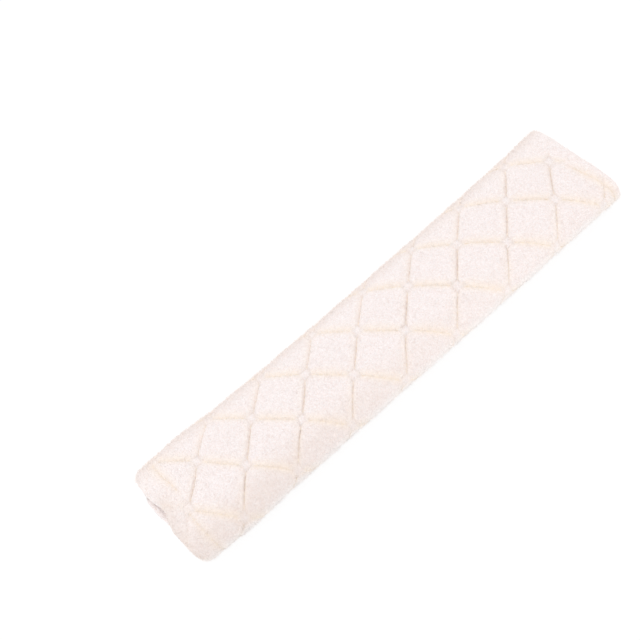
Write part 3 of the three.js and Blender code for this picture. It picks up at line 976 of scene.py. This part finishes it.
# colours are as a screen shows them
plushLook = {
    "cream": (253, 246, 245),
    "tips": (254, 250, 250),
    "roots": (247, 236, 235),
    # painted warm bounce light beside the seams
    "paintedBounce": (253, 238, 221),
    # painted shade in the seams' creases
    "line": (236, 220, 210),
    "speck": (234, 215, 206),
    # painted shade where the pad rolls over
    "paintedFoldShade": (236, 221, 213),
    # painted light from the floor, low on the right side
    "pale": (255, 252, 251),
    "fibres": ((250, 241, 237), (255, 252, 251)),  # darkest and lightest
    "curl": 11.0,  # curls in each centimetre
    "swirl": 0.1,  # how far they are bent
    "specks": 0.3,  # strength of the specks, of the seams' painted warm bounce light and of their painted crease shade
    "glow": 0.65,
    "dark": 0.7,
    "sheen": 0.6,
    "sheenRough": 0.45,
    "gloss": 0.15,
    "bump": 0.9,
    "bumpDepth": 0.0006,
}
otherLooks = {  # dark, light, roughness, strength and depth of the bump, and gain of the pattern
    "sewingThread": ((244, 228, 208), (253, 243, 230), 0.6, 0.4, 0.0001, 1.0),
    "spongeCells": ((236, 224, 190), (247, 240, 214), 0.9, 0.6, 0.0003, 2.0),
    "plainWeave": ((233, 224, 212), (247, 241, 233), 0.8, 0.5, 0.0002, 1.0),
    "hookNylon": ((214, 208, 196), (236, 232, 222), 0.55, 0.4, 0.0001, 1.0),
    "loopNylon": ((224, 218, 206), (243, 239, 230), 0.55, 0.4, 0.0001, 1.0),
}


def paintedCreaseShade(graph):
    # The painted shade in the quilting seams' creases: the distance in from the nearest diamond's rounded
    # edge, as in quiltHeight, is worked out from the lattice numbers of the mesh. The needle's holes get more
    # painted shade.
    corner, core = quilting["corner"], quilting["core"]
    lanes, rows = graph.value("lanes"), graph.value("rows")
    away = [graph.maths("ABSOLUTE", graph.maths("FRACT", v) * 2 - 1) for v in (lanes, rows)]
    reach = [v * diamondHalf - (diamondHalf - corner) for v in away]
    past = [graph.maths("MAXIMUM", v, 0.0) for v in reach]
    outside = graph.maths("SQRT", past[0] * past[0] + past[1] * past[1])
    distance = corner - outside - graph.maths("MINIMUM", graph.maths("MAXIMUM", *reach), 0.0)
    line = graph.ease(graph.maths("ABSOLUTE", distance), 0.4 * core, 1.5 * core, 1.0, 0.0)
    # more painted shade at the needle's holes
    holes = graph.maths("COSINE", rows * (2 * math.pi * quilting["stitches"])) * 0.25 + 0.75
    return line * holes * graph.value("shown")


def plushMaterial():
    # Pale tips over darker roots, by round cells that a swirl bends and by fine noise. Then cream patches,
    # specks, the painted shade of the folds, the painted floor light on the low edge, and the seams' painted
    # warm bounce light and painted crease shade.
    look = plushLook
    curl = look["curl"]
    graph = newMaterial("plushPile")
    cloth = graph.cloth()
    swirl = graph.node("TexNoise", {"Vector": cloth, "Scale": curl * 0.6, "Detail": 1.0}, output=1)
    swirl = graph.node("VectorMath", {0: swirl, "Scale": look["swirl"]}, operation="SCALE")
    bent = graph.node("VectorMath", {0: cloth, 1: swirl}, operation="ADD")
    cells = {"Vector": bent, "Scale": curl, "Smoothness": 0.4}
    curls = graph.node("TexVoronoi", cells, feature="SMOOTH_F1")
    specks = graph.node("TexVoronoi", {"Vector": bent, "Scale": curl * 1.5}, output=1)
    height = (1 - curls) * 0.6 + graph.noise(bent, curl * 2.4, 2.0, 0.6) * 0.4
    tips = graph.ease(height, 0.4, 0.72)
    colour = graph.mixColour(tips, linear(*look["roots"]), linear(*look["tips"]))
    patches = graph.noise(cloth, 0.55) * 0.4 + 0.15
    # painted crease shade of the quilting and of the hems
    line = graph.maths("MAXIMUM", paintedCreaseShade(graph), graph.value("line"))
    for share, tone in (
        (patches, "cream"),
        (graph.ease(specks, 0.6, 0.75) * look["specks"], "speck"),
        (graph.value("shade"), "paintedFoldShade"),
        (graph.value("pale"), "pale"),
        (graph.value("paintedBounce") * look["glow"], "paintedBounce"),
        (line * look["dark"], "line"),
    ):
        colour = graph.mixColour(share, colour, linear(*look[tone]))
    bump = graph.bump(height, look["bump"], look["bumpDepth"])
    return graph.finish(Base_Color=colour, Roughness=0.95, Sheen_Weight=look["sheen"],
                        Sheen_Roughness=look["sheenRough"], Specular_IOR_Level=look["gloss"], Normal=bump)


def fibreMaterial():
    # each fibre's own tone by noise, with the painted shade of the folds
    # and the painted floor light on the low edge
    dark, light = plushLook["fibres"]
    graph = newMaterial("pileFibre")
    colour = graph.mixColour(graph.noise(graph.cloth(), 30.0, 1.0), linear(*dark), linear(*light))
    colour = graph.mixColour(graph.value("shade"), colour, linear(*plushLook["paintedFoldShade"]))
    colour = graph.mixColour(graph.value("pale"), colour, linear(*plushLook["pale"]))
    return graph.finish(Base_Color=colour, Roughness=0.9, Specular_IOR_Level=plushLook["gloss"])


def twoTone(name, makePattern):
    # a material whose pattern goes from dark to light and stands out as a bump
    dark, light, roughness, strength, depth, gain = otherLooks[name]
    graph = newMaterial(name)
    pattern = makePattern(graph)
    colour = graph.mixColour(pattern * gain, linear(*dark), linear(*light))
    return graph.finish(Base_Color=colour, Roughness=roughness, Normal=graph.bump(pattern, strength, depth))


def twist(graph):
    # slanting bands, as a thread's plies make
    return graph.bands(graph.place(), 900.0, "DIAGONAL")


def nylonWeave(graph):
    # bands both ways, added
    place = graph.place()
    return graph.bands(place, 500.0, "X") * 0.5 + graph.bands(place, 500.0, "Y") * 0.5


def spongeCells(graph):
    # the distance from the walls between round cells
    inputs = {"Vector": graph.place(), "Scale": 1400.0}
    return graph.node("TexVoronoi", inputs, feature="DISTANCE_TO_EDGE")


def plainWeave(graph):
    # bands both ways, multiplied
    cloth = graph.cloth()
    return graph.bands(cloth, 6.0, "X") * graph.bands(cloth, 6.0, "Y")


plush.data.materials.append(plushMaterial())
fuzzy.data.materials.append(fibreMaterial())
for piece, name, makePattern in (
    (thread, "sewingThread", twist),
    (foam, "spongeCells", spongeCells),
    (lining, "plainWeave", plainWeave),
    (hooks, "hookNylon", nylonWeave),
    (loops, "loopNylon", nylonWeave),
):
    piece.data.materials.append(twoTone(name, makePattern))
print("materials made")


# camera, light and floor

viewing = {
    "lens": 62.18,
    "distance": 572.0,
    "elevation": 0.86748,  # this and the next two in radians
    "swing": 0.19871,
    "roll": -0.55687,
    "shiftRight": 42.97,  # the pad's place in the frame
    "shiftUp": 3.77,
    "aimX": 17.3,  # the point that the camera turns about, near the pad's axis
    "aimY": 0.5,
}


def makeCamera():
    # The camera is turned about its aim: raised above the floor, swung towards the near end, and rolled. Its
    # own right, up and back directions are given back.
    rise, roll = viewing["elevation"], viewing["roll"]
    spin = Matrix.Rotation(-viewing["swing"], 3, "Z")
    right = spin @ Vector((1, 0, 0))
    up = spin @ Vector((0, math.sin(rise), math.cos(rise)))
    forward = spin @ Vector((0, math.cos(rise), -math.sin(rise)))
    rolledRight = math.cos(roll) * right + math.sin(roll) * up
    rolledUp = math.cos(roll) * up - math.sin(roll) * right
    place = Vector((viewing["aimX"], viewing["aimY"], wall["height"] / 2)) - viewing["distance"] * forward
    place = place - viewing["shiftRight"] * rolledRight - viewing["shiftUp"] * rolledUp
    data = bpy.data.cameras.new("camera")
    data.lens = viewing["lens"]
    data.sensor_width = 36
    data.clip_start = 0.01
    camera = addObject("camera", data)
    turn = Matrix((rolledRight, rolledUp, -forward)).transposed()
    camera.matrix_world = Matrix.Translation(place * mm) @ turn.to_4x4()
    bpy.context.scene.camera = camera
    return rolledRight, rolledUp, -forward


viewRight, viewUp, viewBack = makeCamera()

lighting = {
    "sky": 0.905,
    "key": 0.655,
    "keyFrom": (-0.5, 0.6, 0.6),  # right, up and towards the viewer, as the picture is seen
    "keySoftness": 0.8,
    "cards": (  # lit cards beside the far half and before the near end: watts, place, aim and size
        (0.025, (0.06, -0.16, 0.02), (0.05, -0.02, 0.006), (0.22, 0.03)),
        (0.005, (-0.26, 0.01, 0.04), (-0.14, 0.005, 0.008), (0.1, 0.03)),
    ),
    "floor": (0.97, 0.955, 0.94),
    "floorHalf": 3000,
    "floorGlow": 0.89,  # how much of the floor that the camera sees is plain white, and how bright that is
    "floorWhite": 1.04,
}


def placeLamp(kind, energy, towards, place=(0, 0, 0)):
    # a lamp at a place whose back points towards a direction
    data = bpy.data.lights.new("lamp" + kind, kind)
    data.energy = energy
    lamp = addObject(data.name, data)
    lamp.matrix_world = Matrix.Translation(place) @ towards.to_track_quat("Z", "Y").to_matrix().to_4x4()
    return data


def makeLight():
    # a soft sun, the lit cards, and a bright surrounding that the camera sees as white
    right, up, back = lighting["keyFrom"]
    towards = right * viewRight + up * viewUp + back * viewBack
    placeLamp("SUN", lighting["key"], towards).angle = lighting["keySoftness"]
    for energy, place, aim, size in lighting["cards"]:
        card = placeLamp("AREA", energy, Vector(place) - Vector(aim), place)
        card.shape = "RECTANGLE"
        card.size, card.size_y = size
    world = bpy.data.worlds.new("studio")
    graph = Graph(world)
    background = graph.tree.nodes["Background"].inputs
    background["Color"].default_value = (1, 1, 1, 1)
    isCameraRay = graph.node("LightPath")
    graph.feed(background["Strength"], isCameraRay * (1 - lighting["sky"]) + lighting["sky"])
    bpy.context.scene.world = world


def makeFloor():
    # a pale floor that the camera sees as nearly white, with a little of the pad's shadow
    half = lighting["floorHalf"]
    points = np.array([[-half, -half, 0], [half, -half, 0], [half, half, 0], [-half, half, 0]], float)
    floor = makeMesh("floor", points, [np.array([[0, 1, 2, 3]])])
    graph = newMaterial("paleFloor")
    graph.finish(Base_Color=(*lighting["floor"], 1), Roughness=1.0, Specular_IOR_Level=0.0)
    white = graph.node("Emission", {"Color": (1, 1, 1, 1), "Strength": lighting["floorWhite"]})
    isCameraRay = graph.node("LightPath")
    lit = Wire(graph, graph.tree.nodes["Principled BSDF"].outputs[0])
    mixed = graph.node("MixShader", {0: isCameraRay * lighting["floorGlow"], 1: lit, 2: white})
    graph.feed(graph.tree.nodes["Material Output"].inputs["Surface"], mixed)
    floor.data.materials.append(graph.owner)


makeLight()
makeFloor()
bpy.context.scene.view_settings.view_transform = "Standard"
print("camera, light and floor made")
